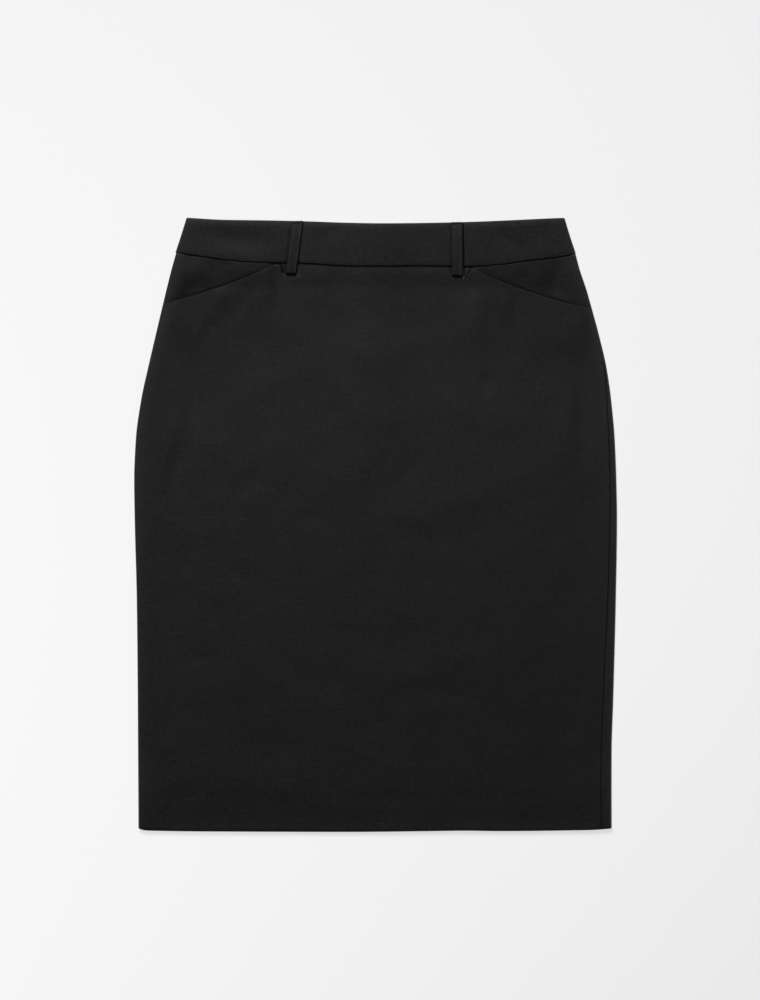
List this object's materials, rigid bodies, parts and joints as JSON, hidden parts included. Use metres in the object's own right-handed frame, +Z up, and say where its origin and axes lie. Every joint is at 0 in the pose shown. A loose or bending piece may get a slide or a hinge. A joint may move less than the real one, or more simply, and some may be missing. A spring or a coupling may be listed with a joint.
{
  "type": "pencil skirt",
  "caption": "Knee-length pencil skirt laid flat, with a shaped waistband, belt loops, slanted hip pockets and a centre back zip.",
  "frame": {"origin": "under the middle of the skirt, on the surface that it lies on", "axes": "+X across the skirt towards its right-hand side as seen from above, +Y from the hem to the waist, +Z up from the surface, out of the front"},
  "size_m": [0.4826, 0.6134, 0.0078],
  "materials": {
    "skirt_cloth": "matt black wool suiting",
    "waistband_cloth": "matt black wool suiting, interlined and pressed",
    "loop_cloth": "matt black wool suiting, folded narrow",
    "zip_tape": "woven black tape",
    "zip_metal": "dark lacquered slider"
  },
  "bodies": {
    "root": {"front_panel": "skirt_cloth", "hip_facing_left": "skirt_cloth", "hip_facing_right": "skirt_cloth", "back_panel_left": "skirt_cloth", "back_panel_right": "skirt_cloth", "waistband_front": "waistband_cloth", "waistband_back_left": "waistband_cloth", "waistband_back_right": "waistband_cloth", "belt_loop_left": "loop_cloth", "belt_loop_right": "loop_cloth", "zip_tape": "zip_tape", "zip_slider": "zip_metal"}
  },
  "joints": []
}
